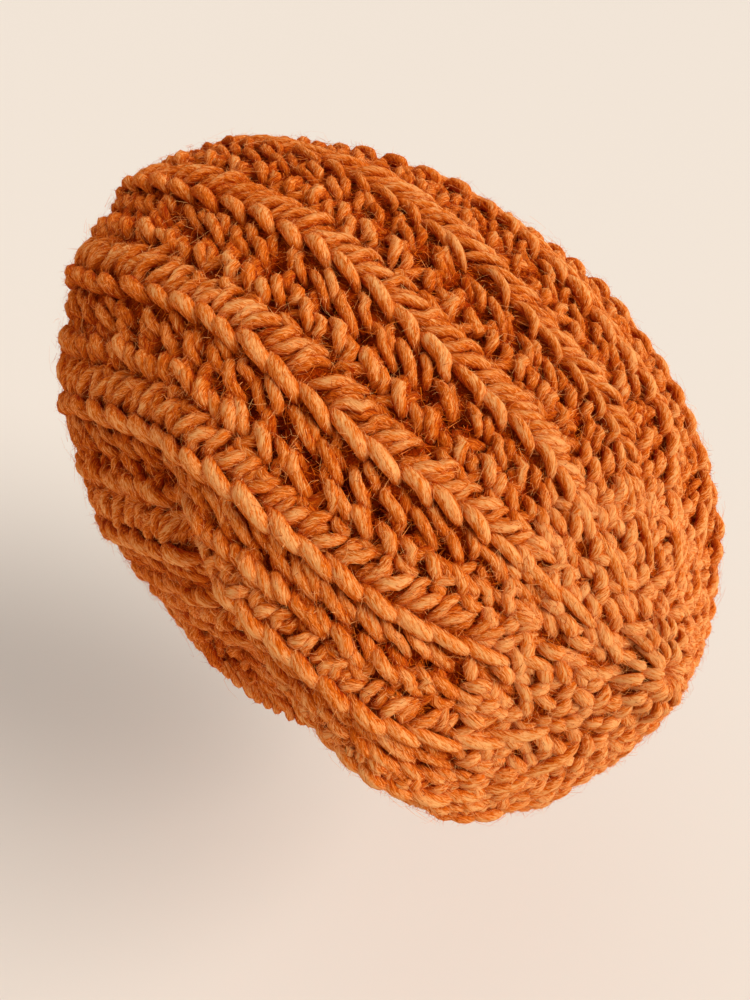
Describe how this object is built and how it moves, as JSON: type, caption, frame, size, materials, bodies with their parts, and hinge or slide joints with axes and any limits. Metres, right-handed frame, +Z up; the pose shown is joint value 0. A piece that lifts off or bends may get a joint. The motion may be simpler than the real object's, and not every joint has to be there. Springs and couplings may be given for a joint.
{
  "type": "slouchy crochet beanie",
  "caption": "Slouchy ribbed crochet hat, open at the brim and drawn in at the crown, held in the tipped-back form that it takes on a head",
  "frame": {"origin": "inside face of the hat over the crown of the wearer's head, where it rests", "axes": "+Z up, -Y the way the wearer faces, +X to the wearer's left, +Y toward the slack back of the hat"},
  "size_m": [0.1935, 0.2425, 0.2147],
  "materials": {
    "body_yarn": "fuzzy rust-orange wool yarn",
    "seam_yarn": "the same yarn, with the hooked side of the stitch out",
    "gather_yarn": "the same yarn, where more light reaches it"
  },
  "bodies": {
    "root": {"ribbed_body": "body_yarn", "seam_chain": "seam_yarn", "crown_gather": "gather_yarn"}
  },
  "joints": []
}
